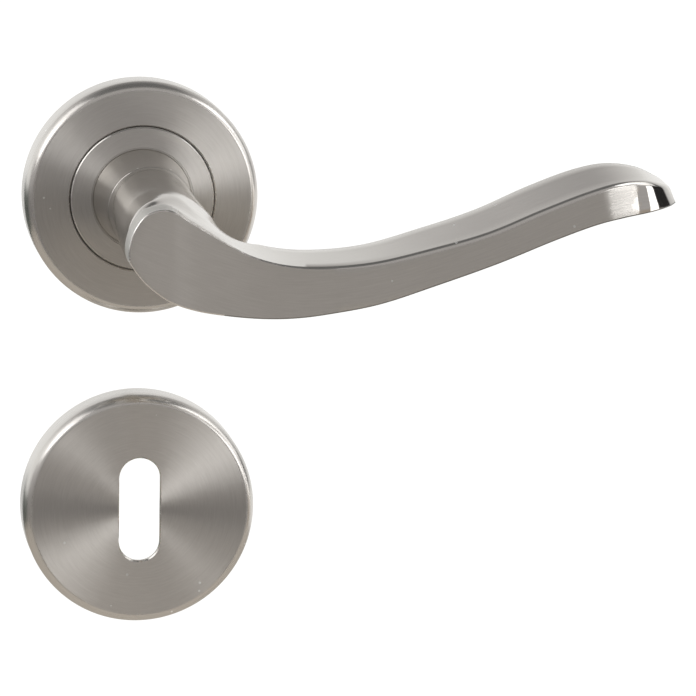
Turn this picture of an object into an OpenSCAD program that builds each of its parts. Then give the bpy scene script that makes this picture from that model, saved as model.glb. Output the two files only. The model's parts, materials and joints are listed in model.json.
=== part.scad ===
// Door lever handle on a round rose, with its round keyhole escutcheon.
// The origin is on the spindle's axis, in the plane of the door's face.
// +X runs along the lever, +Y goes into the door and +Z is up, so a height h
// above the door's face is at y = -h.

/* [Rose and escutcheon] */
// Outer radius of both covers
rose_r = 26.5; // [25:0.5:30]
// Height of the covers above the door
rose_h = 9.45; // [9.2:0.05:10]
// Width of the covers' rounded edge
edge_w = 1.9; // [1:0.1:3]
// Height of the covers' straight side wall
wall_h = 6.6; // [6.4:0.1:7]
// Thickness of the covers' sheet
sheet = 1.2; // [1:0.1:1.4]
// Radius of the turning disc in the middle of the rose
disc_r = 16.3; // [16:0.1:17]
// Gap between the disc and the rose
disc_gap = 0.35; // [0.2:0.05:0.6]
// Distance from the spindle down to the middle of the keyhole
lock_centres = 72; // [72:10:92]

/* [Keyhole] */
// Width of the keyhole slot
key_w = 9.4; // [8:0.1:10]
// Height of the keyhole slot
key_h = 24; // [20:0.5:26]

/* [Lever] */
// Distance from the door to the lever's front face
standoff = 58; // [54:1:62]
// Radius of the round neck
neck_r = 9.5; // [9:0.1:10]
// Height of the seam between the ferrule and the lever's neck
seam_h = 24.7; // [22:0.1:27]
// Thickness of the plate behind the front face at the head
head_depth = 8; // [6:0.5:10]
// Where the front face starts to curl back towards the door
curl_x = 95; // [90:1:100]
// Radius of that curl
curl_r = 22; // [20:1:40]

/* [Spindle and bearing] */
// Side of the square spindle
spindle_w = 8; // [7:1:8]
// Length of the spindle
spindle_len = 110; // [100:5:130]
// Radius of the lever's journal in the bush
journal_r = 8; // [7.5:0.1:8]
// Running clearance of the journal in the bush
run_fit = 0.05; // [0.02:0.01:0.1]
// How far the lever turns
turn = 45; // [35:1:45]

/* [Fixings] */
// Distance between the two fixing bolts
bolt_centres = 38; // [38:0.5:39]
// Length of the fixing bolts from under the head
bolt_len = 30; // [24:1:32]

/* [Hidden] */
$fn = 96;

nickel = [0.62, 0.60, 0.57];
steel = [0.72, 0.73, 0.75];
zinc = [0.55, 0.56, 0.58];
nylon = [0.86, 0.85, 0.80];
spring_steel = [0.30, 0.31, 0.33];

gap = 0.1;                       // small assembly gap
fit = 0.02;                      // gap of a tight fit
lap = 0.01;                      // overlap of shapes that are joined

// Levels above the door, from the back of the rose outwards
journal_end = 0.9;               // inner end of the lever's journal
clip_h = 1.25;                   // back of the circlip
clip_t = 1;
washer_h = clip_h + clip_t + gap;
washer_t = 0.5;
shoulder_h = washer_h + washer_t + gap;
plate_t = 2.6;                   // base plate
rim_h = 6.2;                     // rim that carries the cover
hub_h = 6.3;                     // hub that holds the bush
bush_flange_t = 0.5;
cam_h = hub_h + bush_flange_t + gap;
cam_t = 1.1;
disc_back = cam_h + cam_t;
disc_front = rose_h + gap;
ferrule_h = disc_front;

// Radii in the rose, from the middle outwards
clip_groove_r = journal_r - 0.4;
clip_r = journal_r + 2;
washer_r = journal_r + 3.6;
recess_r = washer_r + 0.6;       // pocket for the circlip and washer
bush_r = journal_r + 2;
hub_r = recess_r + 1;
spring_wire_r = 0.6;
spring_r = hub_r + spring_wire_r + 0.75;
leg_r = 20;                      // end of the spring's straight legs
cam_r = 15.6;
stop_circle = 19;                // the cam's tab and the stop pins
pin_r = 1.5;
pin_back = 0.8;                  // inner end of the stop pins
rim_r = rose_r - sheet - 0.35;   // outside of the base's rim
rim_t = 1.5;
snap_h = 3.6;                    // height of the snap ring
snap_wire_r = 0.55;
snap_r = rim_r;                  // radius of the snap ring's centre line
sleeve_r = 4;                    // locating sleeves around the bolts
sleeve_bore_r = 2.15;
sleeve_len = 9;                  // how far the sleeves enter the door

// The cam's tab swings evenly either side of straight up, as angles
tab_w = 5;
tab_half = 7.5;                  // half the tab's angle at its outer end
pin_half = 4.6;                  // half a stop pin's angle
stop_gap = 0.6;
tab_rest = 90 + turn / 2;
stop_swing = turn / 2 + tab_half + pin_half + stop_gap;
stop_angles = [90 + stop_swing, 90 - stop_swing];

socket_w = spindle_w + 0.1;
socket_end = 40;                 // blind end of the lever's square socket
key_slot_w = 3;                  // keyway that turns the cam
key_slot_d = 1.2;
grub_h = 30;                     // height of the grub screw
grub_r = 3;

// The lever's two front rims, the swell of its back and its depth, from the
// head to the tip: [x top, z top, x bottom, z bottom, rise, depth, corner]
lever_stations = [
    [-8.6, -2.3, -8.7, -5.6, 0.0, 8.0, 0.6],
    [-7.3, 1.4, -7.4, -8.2, 0.0, 8.0, 0.6],
    [-4.6, 4.4, -4.6, -11.5, 0.0, 8.0, 0.6],
    [0.0, 5.2, 0.2, -15.0, 0.0, 8.0, 0.6],
    [5.2, 2.2, 6.0, -17.1, 0.2, 9.0, 1.5],
    [11.0, -1.3, 13.0, -18.3, 0.8, 12.5, 2.5],
    [18.0, -5.0, 20.5, -19.0, 1.6, 15.0, 3.2],
    [25.5, -7.1, 27.5, -19.0, 1.8, 15.5, 3.4],
    [34.0, -7.6, 35.0, -18.2, 1.8, 15.5, 3.4],
    [45.0, -6.7, 46.5, -16.1, 2.0, 15.5, 3.4],
    [57.0, -4.0, 59.0, -12.1, 2.6, 15.5, 3.4],
    [70.0, -0.4, 72.5, -7.4, 3.2, 15.5, 3.4],
    [82.0, 4.5, 85.0, -2.4, 3.5, 15.5, 3.4],
    [92.0, 8.3, 94.5, 1.0, 3.5, 15.0, 3.4],
    [99.0, 10.2, 101.0, 2.5, 3.0, 13.5, 3.0],
    [105.5, 10.3, 107.0, 3.2, 2.0, 10.5, 2.4],
    [110.8, 8.9, 112.4, 3.8, 0.8, 6.0, 1.4],
    [112.8, 7.8, 114.3, 4.2, 0.2, 3.4, 0.8]
];
steps_per_station = 3;

// The neck's section under the head: an oval along the arm's direction
oval_x = 2.6;
oval_z = -5.8;
oval_long = 12;
oval_short = 8.4;
oval_angle = -38;
neck_waist_h = 41;               // where the oval starts to narrow to its short side
neck_flare_h = 26;               // where the neck starts to flare to the arm
neck_flare = 11;                 // how far the flare reaches
flare_angle = -18;
neck_drop = 3.2;                 // fall of the neck's top line from the seam to the head

// ---- shared functions ----

function hermite(a, b, c, d, f) =
    0.5 * ((2 * b) + (c - a) * f + (2 * a - 5 * b + 4 * c - d) * f * f
    + (3 * b - 3 * c + d - a) * f * f * f);

// A smooth curve through the points of a list, at t from 0 to its last index
function along(list, t) =
    let (last = len(list) - 1,
         i = min(floor(t), last - 1),
         before = i > 0 ? list[i - 1] : 2 * list[0] - list[1],
         after = i + 2 <= last ? list[i + 2] : 2 * list[last] - list[last - 1])
    hermite(before, list[i], list[i + 1], after, t - i);

function smooth(f) = let (g = max(0, min(1, f))) g * g * (3 - 2 * g);

// Faces of a skin over rings of n points, with a fan to a middle point at each end
function skin_faces(rings, n) =
    let (first = rings * n, last = first + 1, top = (rings - 1) * n)
    concat(
        [for (i = [0 : n - 1]) [i, (i + 1) % n, first]],
        [for (k = [0 : rings - 2], i = [0 : n - 1], half = [0, 1])
            let (a = k * n + i, b = k * n + (i + 1) % n)
            half == 0 ? [a, a + n, b] : [b, a + n, b + n]],
        [for (i = [0 : n - 1]) [top + (i + 1) % n, top + i, last]]);

function middle(ring) = ring * [for (p = ring) 1 / len(ring)];

module skin(rings) {
    n = len(rings[0]);
    ends = [for (ring = [rings[0], rings[len(rings) - 1]])
        [for (axis = [0 : 2]) middle([for (p = ring) p[axis]])]];
    polyhedron(concat([for (ring = rings) each ring], ends), skin_faces(len(rings), n));
}

// A round wire along a path that stays close to the plane of the door
module wire(path, r, sides = 10) {
    last = len(path) - 1;
    skin([for (i = [0 : last])
        let (d = path[min(i + 1, last)] - path[max(i - 1, 0)],
             side = cross(d, [0, 1, 0]),
             u = side / norm(side),
             w = cross(u, d),
             v = w / norm(w))
        [for (k = [0 : sides - 1])
            path[i] + r * (cos(k * 360 / sides) * u - sin(k * 360 / sides) * v)]]);
}

// A turned part about the spindle's axis, from points [radius, height]
module turned(points) {
    rotate([90, 0, 0]) rotate_extrude() polygon(points);
}

// A flat part in the plane of the door, between two heights
module flat_part(low, high) {
    rotate([90, 0, 0]) translate([0, 0, low]) linear_extrude(high - low) children();
}

module round_bar(r, low, high) {
    flat_part(low, high) circle(r);
}

module at_bolts() {
    for (side = [-1, 1]) translate([side * bolt_centres / 2, 0, 0]) children();
}

module at_lock() {
    translate([0, 0, -lock_centres]) children();
}

module slot(w, h) {
    for (side = [-1, 1]) translate([0, side * (h - w) / 2]) circle(w / 2);
    square([w, h - w], center = true);
}

// ---- lever ----

function front_h(x) =
    let (d = max(0, x - curl_x)) standoff - curl_r + sqrt(curl_r * curl_r - d * d);

// Half of a section's outline, from the front rim over the rounded back:
// [distance from the middle, depth behind the front face]
function half_section(half, rise, depth, corner) = concat(
    [for (f = [0, 0.5, 1]) [half + rise * f, (depth - corner) * f]],
    [for (a = [30, 60, 90])
        [half + rise - corner * (1 - cos(a)), depth - corner * (1 - sin(a))]]);

function lever_section(t) =
    let (s = along(lever_stations, t),
         top = [s[0], s[1]],
         bottom = [s[2], s[3]],
         middle = (top + bottom) / 2,
         half = norm(top - bottom) / 2,
         up = (top - bottom) / (2 * half),
         h = front_h(middle[0]),
         upper = half_section(half, s[4], s[5], s[6]),
         lower = half_section(half, s[4] * 0.2, s[5], s[6]),
         outline = concat([for (p = lower) [-p[0], p[1]]],
             [for (i = [len(upper) - 1 : -1 : 0]) upper[i]]))
    [for (p = outline) [middle[0] + up[0] * p[0], p[1] - h, middle[1] + up[1] * p[0]]];

module lever_arm() {
    last = len(lever_stations) - 1;
    skin([for (i = [0 : last * steps_per_station]) lever_section(i / steps_per_station)]);
}

// The neck at a height, growing from the round seam into the head's oval
function neck_ring(h, sides = 40) =
    let (top = standoff - head_depth,
         f = smooth((h - seam_h) / (top - seam_h)),
         waist = smooth((h - neck_waist_h) / (top - neck_waist_h)),
         reach = max(0, min(1, (h - neck_flare_h) / (top - neck_flare_h))),
         flare = neck_flare * (1 - sqrt(1 - reach * reach)),
         sunk = max(0, h - top) / 2,
         long = neck_r + (oval_long - neck_r) * f - sunk,
         short = neck_r + 0.4 * f + (oval_short - 0.4 - neck_r) * waist - sunk,
         oval_top = oval_z * f + norm([long * sin(oval_angle), short * cos(oval_angle)]),
         top_line = neck_r - neck_drop * (h - seam_h) / (top - seam_h),
         lift = max(0, top_line - oval_top - sunk))
    [for (k = [0 : sides - 1])
        let (a = k * 360 / sides,
             u = long * cos(a - oval_angle),
             v = short * sin(a - oval_angle),
             x = u * cos(oval_angle) - v * sin(oval_angle),
             z = u * sin(oval_angle) + v * cos(oval_angle),
             pull = flare * pow(max(0, cos(a - flare_angle)), 2))
        [oval_x * f + x + pull * cos(flare_angle), -h,
         oval_z * f + z + pull * sin(flare_angle) + lift * pow(max(0, sin(a)), 2)]];

module lever_neck() {
    rings = 17;
    into_head = 3;
    rise = standoff - head_depth + into_head - seam_h;
    skin([for (i = [0 : rings]) neck_ring(seam_h + rise * i / rings)]);
}

// The round journal that runs in the bush, with the circlip's groove
module journal() {
    side_gap = 0.05;
    difference() {
        round_bar(journal_r, journal_end, seam_h + 1);
        difference() {
            round_bar(journal_r + 1, clip_h - side_gap, clip_h + clip_t + side_gap);
            round_bar(clip_groove_r, 0, clip_h + clip_t + 1);
        }
    }
}

module lever_handle() {
    color(nickel) difference() {
        union() {
            lever_arm();
            lever_neck();
            journal();
        }
        translate([-socket_w / 2, -socket_end, -socket_w / 2])
            cube([socket_w, socket_end + 1, socket_w]);
        translate([-key_slot_w / 2, -disc_back, journal_r - key_slot_d])
            cube([key_slot_w, disc_back, key_slot_d + 1]);
        translate([0, -grub_h, 0]) mirror([0, 0, 1]) cylinder(r = grub_r, h = neck_r + 2);
    }
}

// ---- moving parts in the rose ----

module neck_ferrule() {
    top = seam_h - gap;
    flare = 1.85;
    steps = 14;
    profile = [for (i = [0 : steps]) let (f = i / steps)
        [neck_r + flare * pow(1 - f, 2.2), ferrule_h + (top - ferrule_h) * f]];
    bore = journal_r + fit;
    color(nickel) turned(concat([[bore, ferrule_h]], profile, [[bore, top]]));
}

module collar_disc() {
    bevel = 0.25;
    bore = journal_r + fit;
    color(nickel) turned([
        [bore, disc_back], [disc_r, disc_back], [disc_r, disc_front - bevel],
        [disc_r - bevel, disc_front], [bore, disc_front]]);
}

// A keyed disc whose folded tab pushes the spring's legs and meets the stop pins
module drive_cam() {
    tab_t = 2.4;
    tab_out = stop_circle + tab_t / 2;
    tab_in = stop_circle - tab_t / 2;
    color(steel) {
        flat_part(cam_h, cam_h + cam_t - fit) difference() {
            union() {
                circle(cam_r);
                rotate(tab_rest) translate([journal_r + 2, -tab_w / 2])
                    square([tab_out - journal_r - 2, tab_w]);
            }
            difference() {
                circle(journal_r + gap / 2);
                translate([(gap - key_slot_w) / 2, journal_r - key_slot_d + gap])
                    square([key_slot_w - gap, key_slot_d]);
            }
        }
        flat_part(plate_t + 1, cam_h + lap)
            rotate(tab_rest) translate([tab_in, -tab_w / 2]) square([tab_t, tab_w]);
    }
}

// A retaining ring, open at the bottom between two lugs with holes for pliers
module circlip() {
    lug_r = 1.3;
    hole_r = 0.6;
    lug_angle = 14;
    mouth_angle = 13;
    band_r = clip_r - 0.6;
    far = 2 * clip_r;
    mouth = far * tan(mouth_angle / 2);
    color(spring_steel) flat_part(clip_h, clip_h + clip_t) difference() {
        union() {
            circle(band_r);
            for (side = [-1, 1])
                rotate(-90 + side * lug_angle) translate([band_r - 0.3, 0]) circle(lug_r);
        }
        circle(clip_groove_r + fit);
        rotate(-90) polygon([[0, 0], [far, -mouth], [far, mouth]]);
        for (side = [-1, 1])
            rotate(-90 + side * lug_angle) translate([band_r - 0.1, 0]) circle(hole_r);
    }
}

module thrust_washer() {
    bore = journal_r + gap;
    top = washer_h + washer_t;
    color(steel) turned([[bore, washer_h], [washer_r, washer_h], [washer_r, top], [bore, top]]);
}

module spindle() {
    chamfer = 0.6;
    near = -socket_end + 1;
    w = spindle_w;
    color(steel) rotate([-90, 0, 0]) translate([0, 0, near]) {
        translate([-w / 2, -w / 2, chamfer]) cube([w, w, spindle_len - 2 * chamfer]);
        translate([-w / 2 + chamfer, -w / 2 + chamfer, 0])
            cube([w - 2 * chamfer, w - 2 * chamfer, spindle_len]);
    }
}

// It presses on the spindle from below; its socket takes a 3 mm hexagon key
module grub_screw() {
    tip = spindle_w / 2 + fit;
    head = neck_r - 0.7;
    socket_r = 1.73;
    socket_d = 2.2;
    color(spring_steel) translate([0, -grub_h, 0]) mirror([0, 0, 1]) difference() {
        translate([0, 0, tip]) cylinder(r = grub_r - fit, h = head - tip);
        translate([0, 0, head - socket_d]) cylinder(r = socket_r, h = socket_d + 1, $fn = 6);
    }
}

// ---- fixed parts in the rose ----

// A pressed round cover: straight side, rounded edge and flat face, open in
// the middle to a radius, with a groove inside its wall for the snap ring
module cover_shell(hole) {
    bevel = 0.2;
    rise = rose_h - wall_h;
    inner_r = rose_r - sheet;
    step = 90 / 8;
    edge = [for (a = [0 : step : 90])
        [rose_r - edge_w * (1 - cos(a)), wall_h + rise * sin(a)]];
    inner_edge = [for (a = [90 : -step : 0])
        [inner_r - edge_w * (1 - cos(a)), wall_h - sheet + rise * sin(a)]];
    groove = snap_wire_r + gap;
    depth = snap_r + snap_wire_r + gap;
    face = hole > 0 ? [[hole + bevel, rose_h], [hole, rose_h - bevel], [hole, rose_h - sheet]]
                    : [[0, rose_h], [0, rose_h - sheet]];
    turned(concat([[inner_r, 0], [rose_r, 0]], edge, face, inner_edge, [
        [inner_r, snap_h + groove], [depth, snap_h + groove],
        [depth, snap_h - groove], [inner_r, snap_h - groove]]));
}

module rose_cover() {
    color(nickel) cover_shell(disc_r + disc_gap);
}

// The rim of a base, with the groove that the snap ring sits in
module base_rim() {
    groove = snap_wire_r + gap / 2;
    depth = snap_r - snap_wire_r - gap;
    turned([
        [rim_r - rim_t, 0], [rim_r, 0], [rim_r, snap_h - groove], [depth, snap_h - groove],
        [depth, snap_h + groove], [rim_r, snap_h + groove], [rim_r, rim_h],
        [rim_r - rim_t, rim_h]]);
}

module at_stops() {
    for (a = stop_angles) rotate([0, -a, 0]) translate([stop_circle, 0, 0]) children();
}

module rose_base() {
    post = 1.6;
    post_h = 4.6;
    post_z = -(leg_r - post - 0.2);
    color(zinc) {
        base_rim();
        difference() {
            turned([
                [recess_r, 0], [rim_r - 1, 0], [rim_r - 1, plate_t], [hub_r, plate_t],
                [hub_r, hub_h], [bush_r + fit, hub_h], [bush_r + fit, shoulder_h],
                [recess_r, shoulder_h]]);
            at_bolts() round_bar(sleeve_r + fit, -1, plate_t + 1);
            at_stops() round_bar(pin_r + fit, pin_back, plate_t + 1);
        }
        // Two posts hold the fixed end of the return spring
        for (side = [-1, 1]) translate([side * (spring_wire_r + post / 2 + gap), 0, post_z])
            flat_part(plate_t - lap, post_h) square(post, center = true);
    }
}

module bearing_bush() {
    bore = journal_r + run_fit;
    flange_r = hub_r - 0.4;
    top = hub_h + bush_flange_t;
    color(nylon) turned([
        [bore, shoulder_h], [bush_r, shoulder_h], [bush_r, hub_h + fit],
        [flange_r, hub_h + fit], [flange_r, top], [bore, top]]);
}

// A torsion coil around the hub: one leg between the base's posts, the other
// beside the cam's tab
module return_spring() {
    low = plate_t + spring_wire_r + gap;
    high = cam_h - spring_wire_r - 1.5 * gap;
    start = -90;
    finish = 360 + tab_rest - tab_half - 2.6;
    bend = 4;                    // angle in which a leg turns into the coil
    steps = 60;
    leg_radii = [leg_r, leg_r - 2, spring_r + 1.4];
    function spot(r, a, h) = [r * cos(a), -h, r * sin(a)];
    color(spring_steel) wire(concat(
        [for (r = leg_radii) spot(r, start, low)],
        [for (i = [0 : steps]) let (f = i / steps)
            spot(spring_r, start + bend + (finish - start - 2 * bend) * f,
                low + (high - low) * f)],
        [for (i = [2 : -1 : 0]) spot(leg_radii[i], finish, high)]),
        spring_wire_r, 8);
}

module stop_pins() {
    color(steel) at_stops() round_bar(pin_r, pin_back, cam_h - 3 * gap);
}

module snap_ring() {
    opening = 24;
    color(spring_steel) rotate([90, 0, 0]) translate([0, 0, snap_h])
        rotate(-90 + opening / 2) rotate_extrude(angle = 360 - opening)
        translate([snap_r, 0]) circle(snap_wire_r, $fn = 24);
}

module rose_snap_ring() {
    snap_ring();
}

// Two bolts with a rolled thread, whose plain shank is thinner than the thread
module bolts() {
    thread_r = 2;
    shank_r = 1.78;
    head_r = 3.5;
    under = plate_t + fit;
    top = plate_t + 2.3;
    cross_d = 1.4;
    color(steel) at_bolts() difference() {
        union() {
            round_bar(thread_r, plate_t - bolt_len, -sleeve_len - 3 * gap);
            round_bar(shank_r, -sleeve_len - 1, under + lap);
            turned([[0, under], [head_r, under], [head_r, under + 1.2],
                    [head_r - 0.8, top], [0, top]]);
        }
        for (a = [0, 90]) flat_part(top - cross_d, top + 1)
            rotate(a) square([4.4, 0.9], center = true);
    }
}

module rose_bolts() {
    bolts();
}

// Locating sleeves: pressed into the base, they enter the door
module sleeves() {
    chamfer = 0.4;
    color(steel) at_bolts() turned([
        [sleeve_bore_r, -sleeve_len], [sleeve_r - chamfer, -sleeve_len],
        [sleeve_r, chamfer - sleeve_len], [sleeve_r, plate_t], [sleeve_bore_r, plate_t]]);
}

module rose_sleeves() {
    sleeves();
}

// ---- escutcheon ----

module escutcheon_cover() {
    color(nickel) at_lock() difference() {
        cover_shell(0);
        flat_part(-1, rose_h + 1) slot(key_w, key_h);
    }
}

// A moulded base with a collar around the keyhole that backs the cover's face
module escutcheon_base() {
    wider = 4.4;                     // keeps the base out of sight behind the cover's slot
    collar = wider + 2 * 1.6;
    color(nylon) at_lock() {
        base_rim();
        difference() {
            union() {
                round_bar(rim_r - 1, 0, plate_t);
                flat_part(plate_t - lap, rose_h - sheet - gap)
                    slot(key_w + collar, key_h + collar);
            }
            flat_part(-1, rose_h) slot(key_w + wider, key_h + wider);
            at_bolts() round_bar(sleeve_r + fit, -1, plate_t + 1);
        }
    }
}

module escutcheon_snap_ring() {
    at_lock() snap_ring();
}

module escutcheon_bolts() {
    at_lock() bolts();
}

module escutcheon_sleeves() {
    at_lock() sleeves();
}

lever_handle();
neck_ferrule();
collar_disc();
drive_cam();
circlip();
thrust_washer();
spindle();
grub_screw();
rose_cover();
rose_base();
bearing_bush();
return_spring();
stop_pins();
rose_snap_ring();
rose_bolts();
rose_sleeves();
escutcheon_cover();
escutcheon_base();
escutcheon_snap_ring();
escutcheon_bolts();
escutcheon_sleeves();
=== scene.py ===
"""The looks of a door lever handle and its keyhole escutcheon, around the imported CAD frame.

Everything is in the CAD's frame: the origin is on the spindle's axis in the plane of the door's
face, +X runs along the lever, +Y goes into the door and +Z is up. A height h above the door's
face is at y = -h.
"""
import json
import math

import bmesh
import bpy
import numpy as np
from mathutils import Matrix, Vector
from mathutils.kdtree import KDTree


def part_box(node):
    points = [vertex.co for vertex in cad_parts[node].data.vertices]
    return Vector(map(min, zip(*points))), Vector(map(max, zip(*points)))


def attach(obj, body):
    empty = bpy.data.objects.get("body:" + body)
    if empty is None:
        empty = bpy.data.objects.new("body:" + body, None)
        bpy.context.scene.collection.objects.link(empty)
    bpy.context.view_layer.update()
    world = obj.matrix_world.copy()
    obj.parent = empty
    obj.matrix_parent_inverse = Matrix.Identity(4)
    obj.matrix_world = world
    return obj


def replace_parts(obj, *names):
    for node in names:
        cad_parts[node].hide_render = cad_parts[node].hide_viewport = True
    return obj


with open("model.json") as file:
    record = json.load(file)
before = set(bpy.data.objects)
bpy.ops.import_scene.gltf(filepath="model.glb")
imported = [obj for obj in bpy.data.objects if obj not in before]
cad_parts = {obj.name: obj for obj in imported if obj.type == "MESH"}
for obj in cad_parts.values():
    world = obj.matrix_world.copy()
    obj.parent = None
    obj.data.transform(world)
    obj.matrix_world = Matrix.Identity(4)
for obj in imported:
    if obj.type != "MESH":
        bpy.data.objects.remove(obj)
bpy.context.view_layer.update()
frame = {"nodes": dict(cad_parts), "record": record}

MM = 0.001
scene = bpy.context.scene


# ---- camera ----

def add_camera():
    """A long lens that looks down on the handle from its left."""
    azimuth, elevation, roll = (math.radians(x) for x in (-9.47, 10.80, 1.01))
    distance, to_right, to_below = 1.1, 47.9 * MM, 35.5 * MM
    back = Vector((math.sin(azimuth) * math.cos(elevation),
                   -math.cos(azimuth) * math.cos(elevation), math.sin(elevation)))
    level = Vector((0, 0, 1)).cross(back).normalized()
    right = math.cos(roll) * level + math.sin(roll) * back.cross(level)
    up = back.cross(right)
    data = bpy.data.cameras.new("camera")
    data.sensor_width = 36
    data.lens = 249.9
    data.clip_start, data.clip_end = 0.05, 60
    camera = bpy.data.objects.new("camera", data)
    camera.location = back * distance + right * to_right - up * to_below
    camera.rotation_mode = "QUATERNION"
    camera.rotation_quaternion = Matrix((right, up, back)).transposed().to_quaternion()
    scene.collection.objects.link(camera)
    scene.camera = camera


# ---- studio ----

def add_light(name, place, size, power):
    """A soft box that faces the object and isn't seen itself."""
    data = bpy.data.lights.new(name, "AREA")
    data.shape = "RECTANGLE"
    data.size, data.size_y = size
    data.energy = power
    light = bpy.data.objects.new(name, data)
    light.location = place
    light.visible_camera = False
    light.rotation_mode = "QUATERNION"
    light.rotation_quaternion = (-Vector(place)).to_track_quat("-Z", "Y")
    scene.collection.objects.link(light)


# The colour of the studio's walls by the angle from the front in degrees (minus is left): below
# the horizon, and from there up to the even grey that ends at the ceiling
WHITE, BLACK, SHADE = (1.08, 1.08, 1.07), (0.03, 0.03, 0.03), (0.10, 0.115, 0.105)
GREY, DIM, BEIGE = (0.50, 0.485, 0.48), (0.26, 0.25, 0.245), (0.46, 0.40, 0.34)
LOW_WALLS = ((-180, WHITE), (-165, WHITE), (-156, SHADE), (-97, SHADE), (-90, DIM), (50, DIM),
             (58, BEIGE), (88, BEIGE), (95, (1.0, 0.98, 0.95)), (150, WHITE), (180, WHITE))
MIDDLE_WALLS = ((-180, WHITE), (-105, WHITE), (-92, GREY), (86, GREY), (89, BLACK), (109, BLACK),
                (112, (0.7, 0.7, 0.7)), (130, WHITE), (180, WHITE))
CEILING = (0.17, 0.17, 0.17)
# Each ring of walls fades into the next one over these heights, as the z of a direction
LOW_FADE, MIDDLE_FADE, CEILING_FADE = (-0.10, -0.03), (0.34, 0.8), (0.75, 0.88)


def add_world():
    """The surroundings that the metal mirrors: white behind the object, grey in front of it, with
    a black strip at the right, and dim below and overhead."""
    world = bpy.data.worlds.new("studio")
    scene.world = world
    world.use_nodes = True
    nodes, links = world.node_tree.nodes, world.node_tree.links

    def add(kind, *values, **settings):
        node = nodes.new("ShaderNode" + kind)
        for key, value in settings.items():
            setattr(node, key, value)
        for i, value in enumerate(values):
            if isinstance(value, bpy.types.NodeSocket):
                links.new(value, node.inputs[i])
            else:
                node.inputs[i].default_value = value
        return node

    where = add("SeparateXYZ", nodes.new("ShaderNodeTexCoord").outputs["Generated"])
    x, y, z = where.outputs
    front = add("Math", y, -1.0, operation="MULTIPLY").outputs[0]
    angle = add("Math", x, front, operation="ARCTAN2").outputs[0]
    turn = add("Math", angle, 1 / (2 * math.pi), 0.5, operation="MULTIPLY_ADD").outputs[0]

    def ramp(walls):
        node = add("ValToRGB", turn)
        stops = node.color_ramp.elements     # a new ramp has two
        for i, (degrees, colour) in enumerate(walls):
            stop = stops[i] if i < 2 else stops.new(1.0)
            stop.position = (degrees + 180) / 360
            stop.color = (*colour, 1)
        return node.outputs[0]

    def blend(low, high, start, end):
        """low where z is below start, and high, a socket or a colour, where it is above end."""
        factor = add("MapRange", z, start, end).outputs[0]
        node = add("Mix", factor, data_type="RGBA")
        links.new(low, node.inputs[6])
        if isinstance(high, tuple):
            node.inputs[7].default_value = (*high, 1)
        else:
            links.new(high, node.inputs[7])
        return node.outputs[2]

    walls = blend(ramp(LOW_WALLS), ramp(MIDDLE_WALLS), *LOW_FADE)
    walls = blend(walls, GREY, *MIDDLE_FADE)
    links.new(blend(walls, CEILING, *CEILING_FADE), nodes["Background"].inputs["Color"])


def add_floor():
    """A pale round floor, low enough that the object's shadow stays soft."""
    radius, z, sides = 0.65, -0.3, 96
    turns = [2 * math.pi * i / sides for i in range(sides)]
    rim = [(radius * math.cos(a), radius * math.sin(a), z) for a in turns]
    data = bpy.data.meshes.new("floor")
    data.from_pydata(rim, [], [tuple(range(sides))])
    floor = bpy.data.objects.new("floor", data)
    scene.collection.objects.link(floor)
    t = Tree("floor")
    cloud = t.noise(t.place(), 2.0)
    t.feed("Base Color", t.mix(cloud, (0.80, 0.74, 0.66), (0.83, 0.77, 0.69)))
    t.set(Roughness=0.9)
    data.materials.append(t.material)


# The soft boxes: the angle from the front to the right and the angle up, in degrees, the
# distance, the width and height, and the brightness as the metal mirrors it
PANELS = {
    "front_right": (41, 4.0, 1.3, (0.85, 0.43), 2.1),
    "right": (80, -3, 1.3, (0.26, 0.40), 1.8),
    "high_right": (82, 27, 1.3, (0.7, 0.8), 1.25),
    "near_right": (60, 36, 0.35, (0.16, 0.14), 2.0),
    "left": (-74, 38, 1.3, (0.9, 1.0), 1.15),
    "near_left": (-54, 24, 0.35, (0.2, 0.125), 2.2),
}


def add_panels():
    for name, (angle, elevation, far, size, brightness) in PANELS.items():
        a, e = math.radians(angle), math.radians(elevation)
        place = (far * math.sin(a) * math.cos(e), -far * math.cos(a) * math.cos(e),
                 far * math.sin(e))
        add_light(name, place, size, brightness * math.pi * size[0] * size[1])


def add_studio():
    """The surroundings, the floor and the lights."""
    scene.view_settings.view_transform = "Standard"
    add_world()
    add_floor()
    add_panels()


# ---- materials ----

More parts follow.
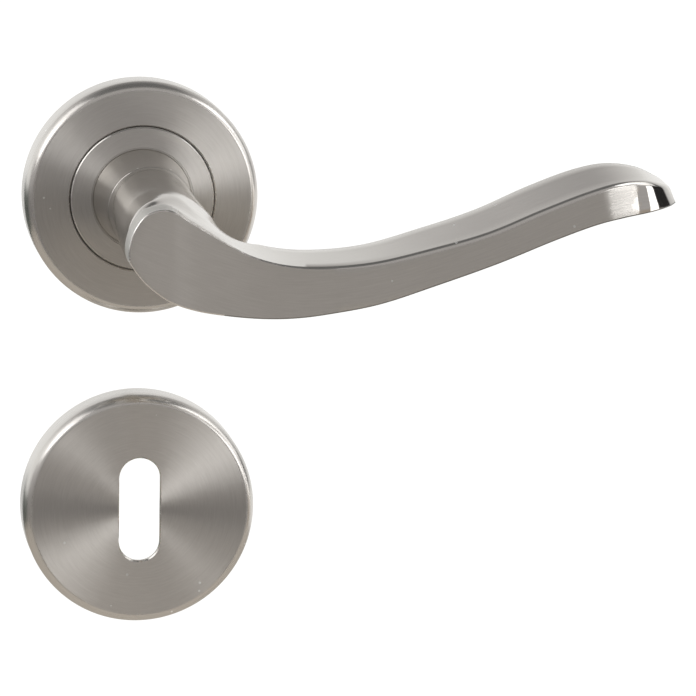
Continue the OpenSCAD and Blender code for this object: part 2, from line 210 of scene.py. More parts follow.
class Tree:
    """A material with short ways to add nodes to its tree. A Mix node's numbers are its inputs 2
    and 3, and its colours are 6 and 7."""

    def __init__(self, name):
        self.material = bpy.data.materials.new(name)
        self.material.use_nodes = True
        self.nodes = self.material.node_tree.nodes
        self.links = self.material.node_tree.links
        self.shader = self.nodes["Principled BSDF"]

    def set(self, **values):
        for name, value in values.items():
            self.shader.inputs[name.replace("_", " ")].default_value = value

    def feed(self, name, socket):
        self.links.new(socket, self.shader.inputs[name])

    def add(self, kind, inputs=(), **settings):
        node = self.nodes.new("ShaderNode" + kind)
        for key, value in settings.items():
            setattr(node, key, value)
        for key, value in dict(inputs).items():
            if isinstance(value, bpy.types.NodeSocket):
                self.links.new(value, node.inputs[key])
            else:
                node.inputs[key].default_value = value
        return node

    def maths(self, operation, *values):
        return self.add("Math", dict(enumerate(values)), operation=operation).outputs[0]

    def place(self):
        return self.add("TexCoord").outputs["Object"]

    def noise(self, vector, scale, detail=3.0, roughness=0.5):
        inputs = {"Vector": vector, "Scale": scale, "Detail": detail, "Roughness": roughness}
        return self.add("TexNoise", inputs).outputs["Fac"]

    def spread(self, value, low, high):
        """A noise's middle range as low to high."""
        inputs = {"Value": value, "From Min": 0.3, "From Max": 0.7, "To Min": low, "To Max": high}
        return self.add("MapRange", inputs).outputs[0]

    def mix(self, factor, a, b):
        return self.add("Mix", {0: factor, 6: (*a, 1), 7: (*b, 1)}, data_type="RGBA").outputs[2]

    def bump(self, height, strength, distance):
        inputs = {"Strength": strength, "Distance": distance, "Height": height}
        self.feed("Normal", self.add("Bump", inputs).outputs[0])


def brushed_lines(t, turned):
    """The fine lines of the brushing, as a noise that is long along the first axis of the UV map
    and narrow across it. On a turned piece that axis counts turns, and its ends meet."""
    stretch_along, stretch_across = 40.0, 900.0
    split = t.add("SeparateXYZ", {0: t.add("UVMap", uv_map="Brush").outputs[0]})
    along, across = split.outputs[0], split.outputs[1]
    if turned:
        angle = t.maths("MULTIPLY", along, 2 * math.pi)
        x, y = t.maths("COSINE", angle), t.maths("SINE", angle)
    else:
        x, y = t.maths("MULTIPLY", along, stretch_along), 0.0
    z = t.maths("MULTIPLY", across, stretch_across)
    lines = t.add("CombineXYZ", {0: x, 1: y, 2: z}).outputs[0]
    return t.noise(lines, 3.0, detail=5, roughness=0.75)


def polished_tip(t, fine, rough, grooves, tip):
    """Roughness and grooves that fade out past the x of tip, in two stages with a ragged start:
    a half-polished strip and then a mirror."""
    ragged_by = 1.2 * MM
    stages = ((tip, 3 * MM, 0.28), (tip + 7 * MM, 2 * MM, 0.05))
    x = t.add("SeparateXYZ", {0: t.place()}).outputs[0]
    ragged = t.maths("ADD", x, t.spread(t.noise(t.place(), 500.0), -ragged_by, ragged_by))
    for start, length, shine in stages:
        inputs = {"Value": ragged, "From Min": start, "From Max": start + length}
        polish = t.add("MapRange", inputs, interpolation_type="SMOOTHSTEP").outputs[0]
        shine = t.spread(fine, 0.7 * shine, 1.3 * shine)
        rough = t.add("Mix", {0: polish, 2: rough, 3: shine}).outputs[0]
        grooves = t.add("Mix", {0: polish, 2: grooves, 3: 0.03}).outputs[0]
    return rough, grooves


def dust(t):
    """1 on small, sparse specks and 0 elsewhere."""
    per_metre, radius, left_out = 200.0, 0.06, 0.4
    cells = t.add("TexVoronoi", {"Vector": t.place(), "Scale": per_metre})
    near = t.maths("LESS_THAN", cells.outputs["Distance"], radius)
    chance = t.add("SeparateXYZ", {0: cells.outputs["Color"]}).outputs[0]
    return t.maths("MULTIPLY", near, t.maths("GREATER_THAN", chance, left_out))


def brushed_nickel(name, turned, rough=0.35, brushing=1.0, grooves=0.4, tip=None):
    """Satin nickel with pale specks, brushed along the first axis of its UV map: round the axis
    on a turned piece, and lengthwise on the lever. Past the x of tip it is polished."""
    speck_rough, speck_height = 0.25, 4.0
    t = Tree(name)
    t.set(Metallic=1.0, Anisotropic=brushing, Anisotropic_Rotation=0.25)
    fine = brushed_lines(t, turned)
    smudge = t.noise(t.place(), 60.0, detail=2)
    colour = t.mix(t.spread(fine, 0, 1), (0.60, 0.58, 0.55), (0.68, 0.66, 0.63))
    worn = t.maths("ADD", t.spread(fine, -0.03, 0.03), t.spread(smudge, -0.02, 0.02))
    rough = t.maths("ADD", worn, rough)
    if tip:
        rough, grooves = polished_tip(t, fine, rough, grooves, tip)
    speck = dust(t)
    inputs = {0: speck, 6: colour, 7: (0.97, 0.97, 0.95, 1)}
    t.feed("Base Color", t.add("Mix", inputs, data_type="RGBA").outputs[2])
    t.feed("Roughness", t.maths("ADD", rough, t.maths("MULTIPLY", speck, speck_rough)))
    t.bump(t.maths("ADD", fine, t.maths("MULTIPLY", speck, speck_height)), grooves, 0.02 * MM)
    t.feed("Tangent", t.add("Tangent", direction_type="UV_MAP", uv_map="Brush").outputs[0])
    return t.material


def polished_nickel():
    """Bright nickel with faint wear, for narrow bevels and rims."""
    t = Tree("polished_nickel")
    t.set(Metallic=1.0)
    wear = t.noise(t.place(), 900.0)
    t.feed("Base Color", t.mix(wear, (0.66, 0.64, 0.61), (0.72, 0.70, 0.67)))
    t.feed("Roughness", t.spread(wear, 0.12, 0.3))
    return t.material


def plain_metal(name, dark, light, rough, bump=0.1):
    """Metal without brushing: mottled colour, uneven roughness and a fine grain."""
    t = Tree(name)
    t.set(Metallic=1.0)
    patches, fine = t.noise(t.place(), 180.0), t.noise(t.place(), 700.0, detail=5, roughness=0.7)
    t.feed("Base Color", t.mix(patches, dark, light))
    t.feed("Roughness", t.spread(fine, rough - 0.08, rough + 0.1))
    t.bump(fine, bump, 0.1 * MM)
    return t.material


def moulded_nylon():
    """Off-white nylon, slightly cloudy."""
    t = Tree("moulded_nylon")
    t.set(IOR=1.53, Subsurface_Weight=0.15, Subsurface_Scale=0.002)
    cloud, fine = t.noise(t.place(), 90.0), t.noise(t.place(), 1500.0)
    t.feed("Base Color", t.mix(cloud, (0.66, 0.64, 0.57), (0.74, 0.72, 0.66)))
    t.feed("Roughness", t.spread(fine, 0.42, 0.55))
    t.bump(fine, 0.08, 0.1 * MM)
    return t.material


# ---- mesh helpers ----

def smooth_step(f):
    """0 up to 0, 1 from 1 on, and an even curve between them."""
    g = max(0.0, min(1.0, f))
    return g * g * (3 - 2 * g)


def new_object(name, points, faces, uvs, materials, zones):
    """A mesh object. uvs has a UV pair for each corner of each face, and zones has the number of
    each face's material."""
    data = bpy.data.meshes.new(name)
    data.from_pydata([tuple(p) for p in points], [], faces)
    layer = data.uv_layers.new(name="Brush")
    layer.data.foreach_set("uv", np.array([c for f in uvs for c in f], float).ravel())
    for material in materials:
        data.materials.append(material)
    data.polygons.foreach_set("material_index", zones)
    piece = bpy.data.objects.new(name, data)
    scene.collection.objects.link(piece)
    return piece


def smooth(piece, sharp=30):
    """Smooth shading, apart from the edges that turn by more than sharp degrees."""
    piece.data.shade_smooth()
    piece.data.set_sharp_from_angle(angle=math.radians(sharp))
    return piece


def finished(piece, body, *nodes):
    """The piece stands for CAD nodes of a body, in their nickel finish."""
    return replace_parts(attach(smooth(piece), body), *nodes)


def turned_piece(name, rings, middle, materials, zones=None, capped=False):
    """A closed turned piece about an axis into the door, through middle, (x, z). Each ring is
    (radius, height), where the radius is a number or, for a slot, a function of the angle. The
    last ring joins the first, or both ends are capped. zones has the number of the material of
    the faces that start at each ring."""
    sides, last_step = 256, 1 * MM
    angles = [2 * math.pi * j / sides for j in range(sides)]
    points, across, before = [], [], None
    for radius, height in rings:
        spots = [(radius(a) if callable(radius) else radius, height) for a in angles]
        points += [(middle[0] + r * math.cos(a), -height, middle[1] + r * math.sin(a))
                   for (r, _), a in zip(spots, angles)]
        if before:
            across.append([v + math.dist(*ends) for v, *ends in zip(across[-1], spots, before)])
        else:
            across.append([0.0] * sides)
        before = spots
    across.append([v + last_step for v in across[-1]])
    faces, uvs, kinds = [], [], []
    for k in range(len(rings) - capped):
        after = (k + 1) % len(rings)
        v0, v1 = across[k], across[k + 1]
        for j in range(sides):
            n = (j + 1) % sides
            faces.append((k * sides + j, after * sides + j, after * sides + n, k * sides + n))
            u0, u1 = j / sides, (j + 1) / sides
            uvs.append([(u0, v0[j]), (u0, v1[j]), (u1, v1[n]), (u1, v0[n])])
            kinds.append(zones[k] if zones else 0)
    if capped:
        last = (len(rings) - 1) * sides
        for ends in (range(sides), range(last + sides - 1, last - 1, -1)):
            faces.append(tuple(ends))
            uvs.append([(points[i][0], points[i][2]) for i in ends])
            kinds.append(0)
    return new_object(name, points, faces, uvs, materials, kinds)


def rounded_edge(start, end, steps, first=math.radians(35)):
    """Points of an ellipse from its angle first, at start, to its top, at end."""
    turns = [first + (math.pi / 2 - first) * i / steps for i in range(steps + 1)]
    return [(end[0] + (start[0] - end[0]) * math.cos(a) / math.cos(first),
             end[1] - (end[1] - start[1]) * (1 - math.sin(a)) / (1 - math.sin(first)))
            for a in turns]


def steps_between(start, end, steps):
    """Evenly spaced points after start, up to end."""
    return [tuple(a + (b - a) * i / steps for a, b in zip(start, end))
            for i in range(1, steps + 1)]


# ---- rose and escutcheon ----

EDGE_W, WALL_H = 1.9 * MM, 7.4 * MM     # a cover's rounded edge, and the wall below it
SHEET = 1.2 * MM                   # the covers' thickness
HOLE_GAP = 0.22 * MM               # between the collar and the rose's cover
JOURNAL_R, NECK_R = 8 * MM, 9.5 * MM
SEAM_V = 0.18 * MM                 # bevel at the seam between ferrule and neck
KEYHOLE_W, KEYHOLE_H = 9.4 * MM, 24 * MM
EDGE_STEPS, FACE_STEPS = 16, 6
SATIN, EDGE, BEVEL = range(3)      # a cover's materials, in their order


def cover_zones(rings):
    """The satin face, the edge and the bright bevel round the hole."""
    zones = [EDGE] * (EDGE_STEPS + 2) + [SATIN] * (len(rings) - EDGE_STEPS - 2)
    zones[-6] = BEVEL              # from the sixth ring from the end, where cover_rings has it
    return zones


def cover_rings(outer, height, hole):
    """A pressed cover's profile, from the rim at the door over the edge to the hole and back.
    hole is a radius or, for a slot, a function of the angle."""
    bevel = 0.3 * MM
    flat = outer - EDGE_W
    rings = [(outer, 0.0), (outer, WALL_H / 2)]
    rings += rounded_edge((outer, WALL_H), (flat, height), EDGE_STEPS)
    if callable(hole):
        rings.append((lambda a: hole(a) + bevel, height))
    else:
        rings += steps_between((flat, height), (hole + bevel, height), FACE_STEPS)
    rings += [(hole, height - bevel), (hole, height - SHEET)]
    inside = outer - SHEET
    return rings + [(inside - EDGE_W, height - SHEET), (inside, WALL_H - SHEET), (inside, 0.0)]


def slot_edge(width, height):
    """The distance from the middle of a round-ended slot to its edge, by angle."""
    half, straight = width / 2, (height - width) / 2

    def radius(a):
        c, s = abs(math.cos(a)), abs(math.sin(a))
        if c * straight >= s * half:
            return half / c
        return straight * s + math.sqrt(half ** 2 - (straight * c) ** 2)
    return radius


def add_rose_cover(materials):
    low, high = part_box("rose_cover")
    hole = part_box("collar_disc")[1].x + HOLE_GAP
    rings = cover_rings(high.x, -low.y, hole)
    cover = turned_piece("rose", rings, (0, 0), materials, cover_zones(rings))
    finished(cover, "rose", "rose_cover")


def add_escutcheon_cover(materials):
    low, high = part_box("escutcheon_cover")
    middle = (0, (low.z + high.z) / 2)
    rings = cover_rings(high.x, -low.y, slot_edge(KEYHOLE_W, KEYHOLE_H))
    cover = turned_piece("escutcheon", rings, middle, materials, cover_zones(rings))
    finished(cover, "rose", "escutcheon_cover")


def add_collar(materials):
    """The disc round the ferrule, with a bright bevelled edge and a fine groove at the
    ferrule's foot."""
    bevel, groove_w, groove_depth = 0.25 * MM, 0.2 * MM, 0.14 * MM
    groove_slope = 0.1 * MM          # how far each side of the groove leans out
    low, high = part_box("collar_disc")
    outer, front, back = high.x, -low.y, -high.y
    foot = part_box("neck_ferrule")[1].x
    rings = [(JOURNAL_R, back), (outer, back), (outer, front - bevel), (outer - bevel, front)]
    rings += steps_between(rings[-1], (foot + groove_w + groove_slope, front), 4)
    rings += [(foot + groove_w, front - groove_depth), (foot, front - groove_depth),
              (foot - groove_slope, front), (JOURNAL_R, front)]
    zones = [SATIN] * len(rings)
    zones[2] = BEVEL
    finished(turned_piece("collar", rings, (0, 0), materials, zones), "lever", "collar_disc")


def add_ferrule(material):
    """The flared sleeve at the foot of the neck."""
    steps, flare = 24, 2.2
    low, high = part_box("neck_ferrule")
    top, base = -low.y, -high.y
    rings = [(JOURNAL_R, base)]
    for f in (i / steps for i in range(steps + 1)):
        radius = NECK_R + (high.x - NECK_R) * (1 - f) ** flare
        rings.append((radius, base + (top - SEAM_V - base) * f))
    rings += [(NECK_R - SEAM_V, top), (JOURNAL_R, top)]
    finished(turned_piece("ferrule", rings, (0, 0), [material]), "lever", "neck_ferrule")


# ---- lever, in millimetres until its points are placed ----

# The lever from its head to its tip: the x and z of its upper and of its lower front rim, how far
# its back swells out past them, its depth, and the radius of its back corners
STATIONS = np.array([
    (-8.6, -2.3, -8.7, -5.6, 0.0, 8.0, 0.6),
    (-7.3, 1.4, -7.4, -8.2, 0.0, 8.0, 0.6),
    (-4.6, 4.4, -4.6, -11.5, 0.0, 8.0, 0.6),
    (0.0, 5.2, 0.2, -15.0, 0.0, 8.0, 0.6),
    (5.2, 2.2, 6.0, -17.1, 0.2, 9.0, 1.5),
    (11.0, -1.3, 13.0, -18.3, 0.8, 12.5, 2.5),
    (18.0, -5.0, 20.5, -19.0, 1.6, 15.0, 3.2),
    (25.5, -7.1, 27.5, -19.0, 1.8, 15.5, 3.4),
    (34.0, -7.6, 35.0, -18.2, 1.8, 15.5, 3.4),
    (45.0, -6.7, 46.5, -16.1, 2.0, 15.5, 3.4),
    (57.0, -4.0, 59.0, -12.1, 2.6, 15.5, 3.4),
    (70.0, -0.4, 72.5, -7.4, 3.2, 15.5, 3.4),
    (82.0, 4.5, 85.0, -2.4, 3.5, 15.5, 3.4),
    (92.0, 8.3, 94.5, 1.0, 3.5, 15.0, 3.4),
    (99.0, 10.2, 101.0, 2.5, 3.0, 13.5, 3.0),
    (105.5, 10.3, 107.0, 3.2, 2.0, 10.5, 2.4),
    (110.8, 8.9, 112.4, 3.8, 0.8, 6.0, 1.4),
    (112.8, 7.8, 114.3, 4.2, 0.2, 3.4, 0.8),
])
HEAD = 3                             # the station where the head's round end starts
STANDOFF, HEAD_DEPTH = 58.0, 8.0     # the front's height above the door, and the head's depth
SEAM_H = 24.7                        # height of the seam between ferrule and neck
CURL_X, CURL_R = 95.0, 22.0          # where the front curls towards the door, and how tightly
HEAD_RIM, ARM_RIM = 0.32, 0.7        # the front edge's size, and what is added along the arm
FACE_COLUMNS = (0, 0.35, 0.7, 1)     # across the front, from its middle to its rim
RIM_STEPS, SIDE_STEPS, CORNER_STEPS = 4, 5, 6
FACE_END = len(FACE_COLUMNS) - 1     # the number of columns of faces on half the front
BACK_START = FACE_END + RIM_STEPS + SIDE_STEPS + CORNER_STEPS
# The lever's materials, in their order. The under-rim one is painted shade: a dark metal that
# stands for the shadow line along the arm's lower rim
FACE, BRIGHT, NECK, SIDE, HEAD_SIDE, PAINTED_SHADE_RIM = range(6)
HEAD_SIDE_END, PAINTED_SHADE_START, BRIGHT_END = 2.0, 12.0, 30.0     # x where those finishes change


def curve(rows, t):
    """A smooth curve through rows, at t from 0 to the last index."""
    last = len(rows) - 1
    i = min(int(t), last - 1)
    f = t - i
    b, c = rows[i], rows[i + 1]
    a = rows[i - 1] if i else 2 * rows[0] - rows[1]
    d = rows[i + 2] if i + 2 <= last else 2 * rows[last] - rows[last - 1]
    return 0.5 * (2 * b + (c - a) * f + (2 * a - 5 * b + 4 * c - d) * f ** 2
                  + (3 * b - 3 * c + d - a) * f ** 3)


def front_height(x):
    """The height of the lever's front above the door."""
    d = max(0.0, x - CURL_X)
    return STANDOFF - CURL_R + math.sqrt(CURL_R ** 2 - d * d)


def half_section(half, rise, depth, corner, rim, roundness):
    """Half of a section, from the middle of its front round to the middle of its back, as
    (distance from the middle, depth behind the front). rim is the size of the front edge, which
    is a bevel at roundness 0 and round at 1."""
    flat = depth - corner
    reach = half + rise - corner
    points = [((half - rim) * f, 0.0) for f in FACE_COLUMNS]
    for f in (i / RIM_STEPS for i in range(1, RIM_STEPS)):
        out = f + roundness * (math.sin(math.pi / 2 * f) - f)
        back = f + roundness * (1 - math.cos(math.pi / 2 * f) - f)
        points.append((half - rim + rim * out, rim * back))
    points += [(half + rise * f, rim + (flat - rim) * f)
               for f in (i / SIDE_STEPS for i in range(SIDE_STEPS + 1))]
    points += [(reach + corner * math.cos(a), flat + corner * math.sin(a))
               for a in (math.pi / 2 * i / CORNER_STEPS for i in range(1, CORNER_STEPS + 1))]
    return points + [(reach / 2, depth), (0.0, depth)]


def lever_finish(column, x, lower):
    """The material of a column of faces at x, on the lower half of the arm or the other one."""
    if column < FACE_END or column >= BACK_START:
        return FACE
    if column < FACE_END + RIM_STEPS:
        # past its start the arm's lower rim is painted shade, a dark metal for the shadow line
        # under the arm
        if lower and x > PAINTED_SHADE_START:
            return PAINTED_SHADE_RIM
        if x < BRIGHT_END:
            return BRIGHT
    return HEAD_SIDE if x < HEAD_SIDE_END else SIDE


class Skin:
    """Collects half sections of the arm and the faces between them. The brushing of the round
    head's front runs forward, from an origin, with upward across it."""

    def __init__(self, origin, forward, upward):
        self.points, self.faces, self.uvs, self.zones = [], [], [], []
        self.origin = origin
        self.to_plane = np.linalg.inv(np.array([forward, upward]).T)

    def half(self, middle, out, outline, travel, spine):
        """A half section that runs out from a middle. travel is its distance along the rim, and
        spine its distance along the lever, or None in the round head."""
        across, made, before = 0.0, [], None
        for p, depth in outline:
            at = middle + out * p
            if before is not None:
                across += math.dist(before, (p, depth))
            before = (p, depth)
            flat = (self.to_plane @ (at - self.origin)) if spine is None else (spine, p)
            self.points.append((at[0], depth - front_height(middle[0]), at[1]))
            made.append((len(self.points) - 1, tuple(flat), (travel, across)))
        return made

    def strip(self, one, two, flip):
        """The faces between two half sections. flip is set on the arm's upper half."""
        for k in range(len(one) - 1):
            ends = [one[k], one[k + 1], two[k + 1], two[k]]
            if flip:
                ends.reverse()
            flat = k < FACE_END or k >= BACK_START
            self.faces.append(tuple(e[0] for e in ends))
            self.uvs.append([np.array(e[1 if flat else 2]) * MM for e in ends])
            x = self.points[one[k][0]][0]
            self.zones.append(lever_finish(k, x, lower=not flip))


def lever_arm(materials):
    """The arm with its round head, as one closed skin."""
    steps = 10                       # sections from one station to the next
    soften_x, soften_w = 20, 40      # where the front edge turns from a bevel to a round
    lower_swell = 0.2                # the lower side's share of the back's swell
    narrow = 3                       # half width below which the front edge gets smaller
    last = len(STATIONS) - 1
    sections = [curve(STATIONS, HEAD + i / steps) for i in range((last - HEAD) * steps + 1)]
    middles = [(s[0:2] + s[2:4]) / 2 for s in sections]
    forward = middles[1] - middles[0]
    first = sections[0][0:2] - sections[0][2:4]
    skin = Skin(middles[0], forward / np.linalg.norm(forward), first / np.linalg.norm(first))
    rows, travel = [], 0.0
    for i, s in enumerate(sections):
        half = np.linalg.norm(s[0:2] - s[2:4]) / 2
        up = (s[0:2] - s[2:4]) / (2 * half)
        if i:
            travel += np.linalg.norm(middles[i] - middles[i - 1])
        away = smooth_step((middles[i][0] - soften_x) / soften_w)
        rim = HEAD_RIM + ARM_RIM * away * min(1, half / narrow)
        above = half_section(half, *s[4:7], rim, away)
        below = half_section(half, lower_swell * s[4], *s[5:7], HEAD_RIM, away)
        upper = skin.half(middles[i], up, above, travel, travel)
        lower = skin.half(middles[i], -up, below, travel, travel)
        lower = [(n, (flat[0], -flat[1]), side) for n, flat, side in lower]
        rows.append((upper, lower))
    for one, two in zip(rows, rows[1:]):
        skin.strip(one[0], two[0], flip=True)
        skin.strip(one[1], two[1], flip=False)

    upper_rim = [s[0:2] for s in STATIONS[HEAD + 1::-1]]
    round_rim = np.array(upper_rim + [s[2:4] for s in STATIONS[:HEAD + 2]])
    before, travel = rows[0][0], 0.0
    for i in range(1, (len(round_rim) - 3) * steps):
        at = curve(round_rim, 1 + i / steps)
        out = at - middles[0]
        half = np.linalg.norm(out)
        travel -= np.linalg.norm(at - curve(round_rim, 1 + (i - 1) / steps))
        outline = half_section(half, 0, *STATIONS[0][5:7], HEAD_RIM, 1)
        made = skin.half(middles[0], out / half, outline, travel, None)
        skin.strip(before, made, flip=False)
        before = made
    skin.strip(before, rows[0][1], flip=False)

    upper, lower = rows[-1]
    loop = [n for n, _, _ in upper] + [n for n, _, _ in lower[-2:0:-1]]
    skin.faces.append(tuple(loop))
    skin.uvs.append([(skin.points[n][1] * MM, skin.points[n][2] * MM) for n in loop])
    skin.zones.append(FACE)
    points = np.array(skin.points) * MM
    arm = new_object("arm", points, skin.faces, skin.uvs, materials, skin.zones)
    tidy(arm)
    return arm


def tidy(piece):
    """Joins doubled points and turns every face outwards."""
    bm = bmesh.new()
    bm.from_mesh(piece.data)
    bmesh.ops.remove_doubles(bm, verts=bm.verts, dist=0.002 * MM)
    bmesh.ops.dissolve_degenerate(bm, edges=bm.edges, dist=0.001 * MM)
    bmesh.ops.recalc_face_normals(bm, faces=bm.faces)
    bm.to_mesh(piece.data)
    bm.free()


def neck_ring(h, sides):
    """The neck's section at a height h: round at the seam, then an oval that widens to the right
    into the arm, under the head."""
    oval_x, oval_z, oval_long, oval_short = 2.6, -5.8, 12.0, 8.4
    angle, flare_angle = math.radians(-38), math.radians(-18)
    waist_h, flare_h, flare, neck_drop = 41.0, 26.0, 11.0, 3.2
    thicker, taper = 0.4, 0.5        # before the waist, and inside the head
    neck_r = NECK_R / MM
    top = STANDOFF - HEAD_DEPTH
    f = smooth_step((h - SEAM_H) / (top - SEAM_H))
    waist = smooth_step((h - waist_h) / (top - waist_h))
    reach = max(0.0, min(1.0, (h - flare_h) / (top - flare_h)))
    swell = flare * (1 - math.sqrt(1 - reach ** 2))
    long = neck_r + (oval_long - neck_r) * f
    short = neck_r + thicker * f + (oval_short - thicker - neck_r) * waist
    inset = max(0.0, SEAM_H + SEAM_V / MM - h) + taper * max(0.0, h - top)
    long, short = long - inset, short - inset
    sine, cosine = math.sin(angle), math.cos(angle)
    oval_top = oval_z * f + math.hypot(long * sine, short * cosine)
    top_line = neck_r - neck_drop * (h - SEAM_H) / (top - SEAM_H)
    lift = max(0.0, top_line - oval_top - inset)
    ring = []
    for a in (2 * math.pi * k / sides for k in range(sides)):
        u, v = long * math.cos(a - angle), short * math.sin(a - angle)
        pull = swell * max(0.0, math.cos(a - flare_angle)) ** 2
        x = oval_x * f + u * math.cos(angle) - v * math.sin(angle) + pull * math.cos(flare_angle)
        z = oval_z * f + u * math.sin(angle) + v * math.cos(angle) + pull * math.sin(flare_angle)
        z += lift * max(0.0, math.sin(a)) ** 2
        ring.append((x * MM, -h * MM, z * MM))
    return ring


def lever_neck(materials):
    """The neck from the seam into the head, as a closed skin."""
    sides, rings, overlap = 160, 60, 3
    top = STANDOFF - HEAD_DEPTH + overlap
    start = SEAM_H + SEAM_V / MM
    heights = [SEAM_H] + [start + (top - start) * k / rings for k in range(rings + 1)]
    points = [p for h in heights for p in neck_ring(h, sides)]
    faces, uvs = [], []
    for k in range(rings + 1):
        for j in range(sides):
            n = (j + 1) % sides
            faces.append((k * sides + j, (k + 1) * sides + j, (k + 1) * sides + n, k * sides + n))
            u0, u1, v0, v1 = j / sides, (j + 1) / sides, heights[k] * MM, heights[k + 1] * MM
            uvs.append([(u0, v0), (u0, v1), (u1, v1), (u1, v0)])
    for ends in (range(sides), range(len(points) - 1, len(points) - sides - 1, -1)):
        faces.append(tuple(ends))
        uvs.append([(0.0, 0.0)] * sides)
    neck = new_object("neck", points, faces, uvs, materials, [NECK] * len(faces))
    tidy(neck)
    return neck


def journal(materials):
    """The round end that runs in the rose, with the groove for its circlip."""
    low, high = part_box("circlip")
    groove_r, gap, overlap = 7.6 * MM, 0.05 * MM, 1 * MM
    inner, outer = -high.y - gap, -low.y + gap
    end = -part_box("lever_handle")[1].y
    rings = [(JOURNAL_R, end), (JOURNAL_R, inner), (groove_r, inner), (groove_r, outer),
             (JOURNAL_R, outer), (JOURNAL_R, SEAM_H * MM + overlap)]
    made = turned_piece("journal", rings, (0, 0), materials, [NECK] * len(rings), capped=True)
    tidy(made)
    return made


def tool(name, bm):
    """A solid to cut the lever with."""
    data = bpy.data.meshes.new(name)
    bm.to_mesh(data)
    bm.free()
    made = bpy.data.objects.new(name, data)
    scene.collection.objects.link(made)
    return made


def block(name, low, high):
    """A box between two corners."""
    bm = bmesh.new()
    bmesh.ops.create_cube(bm, size=1)
    for v in bm.verts:
        v.co = Vector(b if c > 0 else a for a, b, c in zip(low, high, v.co))
    return tool(name, bm)


def grub_hole():
    """The hole for the grub screw, from under the neck up to the spindle."""
    radius, length = 3 * MM, 12 * MM
    low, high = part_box("grub_screw")
    middle = (low + high) / 2
    bm = bmesh.new()
    bmesh.ops.create_cone(bm, cap_ends=True, segments=64, radius1=radius, radius2=radius,
                          depth=length)
    bmesh.ops.translate(bm, verts=bm.verts, vec=(middle.x, middle.y, -length / 2))
    return tool("grub_hole", bm)


def cut_or_join(piece, others, operation):
    """Applies boolean steps to a piece and removes the other solids."""
    for other in others:
        step = piece.modifiers.new("step", "BOOLEAN")
        step.operation = operation
        step.solver = "EXACT"
        step.object = other
        bpy.context.view_layer.update()
        graph = bpy.context.evaluated_depsgraph_get()
        made = bpy.data.meshes.new_from_object(piece.evaluated_get(graph))
        piece.modifiers.clear()
        piece.data = made
        bpy.data.objects.remove(other)


def blend_neck(piece):
    """Rounds the crease where the neck meets the arm: splits the edges near it, then evens out
    the points within reach of it. The left of the head and the lever's front stay as they are."""
    reach, rounds, pace = 6.5 * MM, 200, 0.5
    left, left_fade = -3, 8                  # x where the evening out starts, in millimetres
    front, front_fade = STANDOFF - 1.5, 3    # height where it starts, 1.5 below the front
    bm = bmesh.new()
    bm.from_mesh(piece.data)
    bmesh.ops.triangulate(bm, faces=bm.faces)

    def crease():
        return [e for e in bm.edges if len(e.link_faces) == 2
                and len({f.material_index == NECK for f in e.link_faces}) == 2]

    def nearest(spots):
        tree = KDTree(len(spots))
        for i, spot in enumerate(spots):
            tree.insert(spot, i)
        tree.balance()
        return tree

    for longest in (2.0 * MM, 1.0 * MM, 0.7 * MM):
        tree = nearest([v.co for e in crease() for v in e.verts])
        found = [e for e in bm.edges if e.calc_length() > longest
                 and min(tree.find(v.co)[2] for v in e.verts) < reach + longest]
        bmesh.ops.subdivide_edges(bm, edges=found, cuts=1)
        bmesh.ops.triangulate(bm, faces=[f for f in bm.faces if len(f.verts) > 3])
    tree = nearest([v.co for e in crease() for v in e.verts])
    bm.verts.index_update()
    share = np.array([(1 - smooth_step(tree.find(v.co)[2] / reach))
                      * smooth_step((v.co.x / MM - left) / left_fade)
                      * smooth_step((v.co.y / MM + front) / front_fade)
                      for v in bm.verts])[:, None]
    ends = np.array([[v.index for v in e.verts] for e in bm.edges])
    one, two = ends.ravel(), ends[:, ::-1].ravel()
    count = np.bincount(one)[:, None]
    spots = np.array([v.co for v in bm.verts])
    for _ in range(rounds):
        total = np.array([np.bincount(one, spots[two, axis]) for axis in range(3)]).T
        spots += (total / count - spots) * pace * share
    for v, spot in zip(bm.verts, spots):
        v.co = spot
    bm.to_mesh(piece.data)
    bm.free()


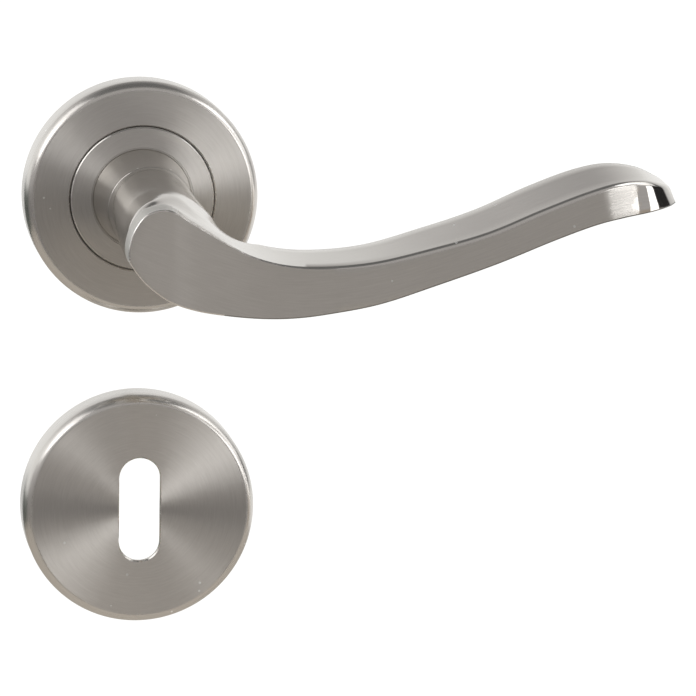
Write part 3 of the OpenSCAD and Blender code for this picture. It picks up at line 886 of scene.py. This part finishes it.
def add_lever(materials):
    """The lever: arm, neck and journal joined, then cut for the spindle, the cam's key and the
    grub screw."""
    play, past, keyway_half = 0.05 * MM, 1 * MM, 1.5 * MM
    keyway_low, keyway_high = 6.8 * MM, 9 * MM
    lever = lever_arm(materials)
    cut_or_join(lever, [lever_neck(materials)], "UNION")
    blend_neck(lever)
    cut_or_join(lever, [journal(materials)], "UNION")
    low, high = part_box("spindle")
    w = high.x + play
    socket = block("socket", (-w, low.y - past, -w), (w, past, w))
    keyway = block("keyway", (-keyway_half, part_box("drive_cam")[0].y, keyway_low),
                   (keyway_half, past, keyway_high))
    cut_or_join(lever, [socket, keyway, grub_hole()], "DIFFERENCE")
    lever.name = "lever"
    finished(lever, "lever", "lever_handle")


# ---- the pieces that stay as the CAD has them ----

def paint_nodes():
    """The finishes of the hidden pieces, by their material slots in the record."""
    zinc, zinc_light = (0.60, 0.61, 0.62), (0.72, 0.73, 0.72)
    steel, steel_light = (0.12, 0.12, 0.125), (0.22, 0.215, 0.21)
    casting, casting_light = (0.36, 0.37, 0.38), (0.46, 0.465, 0.47)
    finishes = {
        "zinc_plated_steel": plain_metal("zinc_plated_steel", zinc, zinc_light, 0.3),
        "spring_steel": plain_metal("spring_steel", steel, steel_light, 0.38),
        "zinc_casting": plain_metal("zinc_casting", casting, casting_light, 0.5, 0.35),
        "nylon": moulded_nylon(),
    }
    for part in frame["record"]["subparts"]:
        if part["material_slot"] in finishes:
            data = frame["nodes"][part["node"]].data
            data.materials.clear()
            data.materials.append(finishes[part["material_slot"]])


add_camera()
add_studio()

TIP_POLISH_X = 95.5 * MM
face_nickel = brushed_nickel("face_nickel", turned=True)
edge_nickel = brushed_nickel("edge_nickel", turned=True, rough=0.28, brushing=0.5, grooves=0.15)
neck_nickel = brushed_nickel("neck_nickel", turned=True, rough=0.12, brushing=0.3, grooves=0.08)
lever_nickel = brushed_nickel("lever_nickel", turned=False, grooves=0.25, tip=TIP_POLISH_X)
matt_nickel = plain_metal("matt_nickel", (0.62, 0.61, 0.585), (0.72, 0.71, 0.685), 0.45, 0.25)
# painted shade: a dark metal on the arm's lower rim that stands for the shadow line beneath it
painted_shade_nickel = plain_metal("painted_shade_nickel", (0.20, 0.20, 0.19), (0.30, 0.295, 0.285), 0.35)
side_nickel = brushed_nickel("side_nickel", turned=False, rough=0.2, brushing=0.6, grooves=0.2)
bright_nickel = polished_nickel()

cover_materials = [face_nickel, edge_nickel, bright_nickel]
lever_materials = [lever_nickel, bright_nickel, neck_nickel, side_nickel, matt_nickel, painted_shade_nickel]
add_rose_cover(cover_materials)
add_escutcheon_cover(cover_materials)
add_collar(cover_materials)
add_ferrule(neck_nickel)
add_lever(lever_materials)
paint_nodes()
